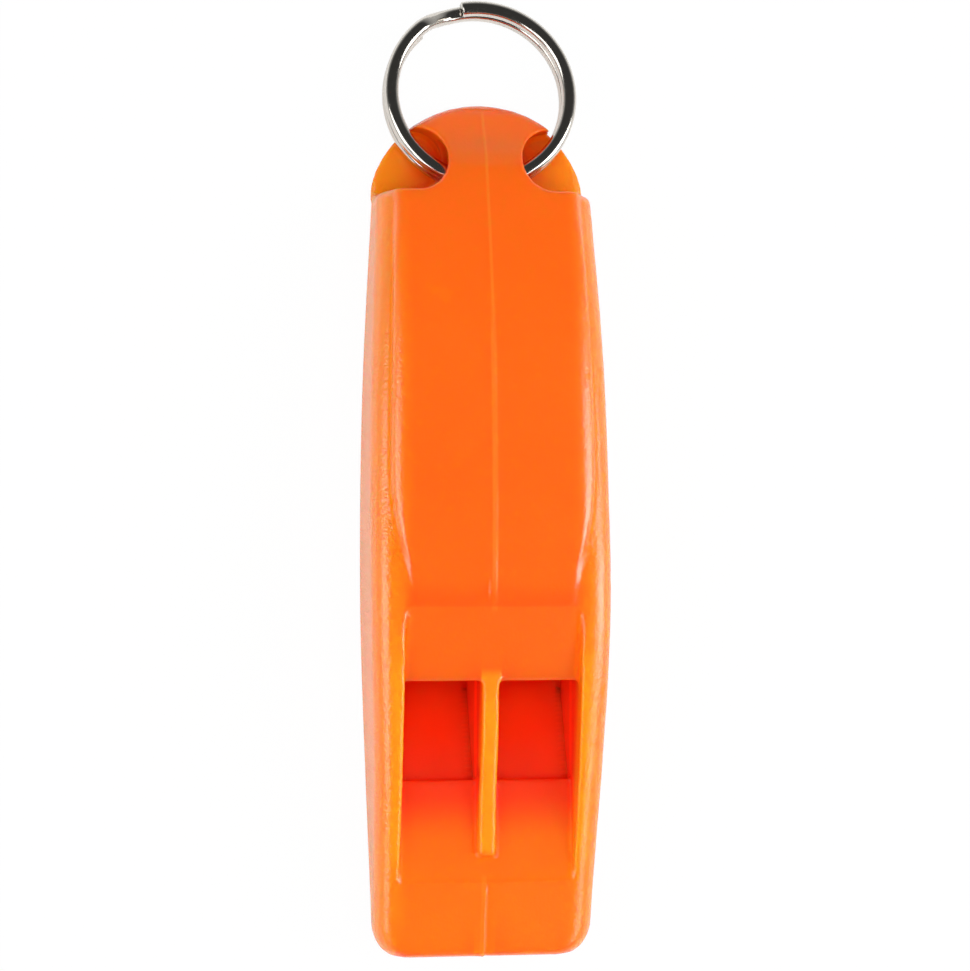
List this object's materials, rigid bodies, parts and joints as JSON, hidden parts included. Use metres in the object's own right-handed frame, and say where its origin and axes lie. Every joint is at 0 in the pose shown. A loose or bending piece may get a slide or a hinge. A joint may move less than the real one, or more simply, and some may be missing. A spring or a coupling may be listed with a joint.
{
  "type": "safety whistle",
  "caption": "Flat pealess safety whistle of orange plastic with twin windows, a back cover that closes its chambers, and a steel split ring that swings in an eye at its end.",
  "frame": {"origin": "middle of the whistle's flat back, on the outer face of the back cover", "axes": "+X to the right seen from the front, +Y from the mouthpiece towards the ring, +Z out of the front; the whistle lies on its back"},
  "size_m": [0.0196, 0.0792, 0.0115],
  "materials": {
    "body_plastic": "bright orange moulded plastic with a soft satin sheen",
    "cover_plastic": "orange moulded plastic, satin",
    "ring_steel": "nickel-plated spring steel wire"
  },
  "bodies": {
    "whistle": {"whistle_body": "body_plastic", "back_cover": "cover_plastic"},
    "ring": {"split_ring": "ring_steel"}
  },
  "joints": [
    {"name": "ring_swing", "type": "hinge", "parent": "whistle", "child": "ring", "pos_m": [0, 0.02915, 0.00385], "axis": [1, 0, 0], "range_deg": [-3.5, 97]}
  ]
}
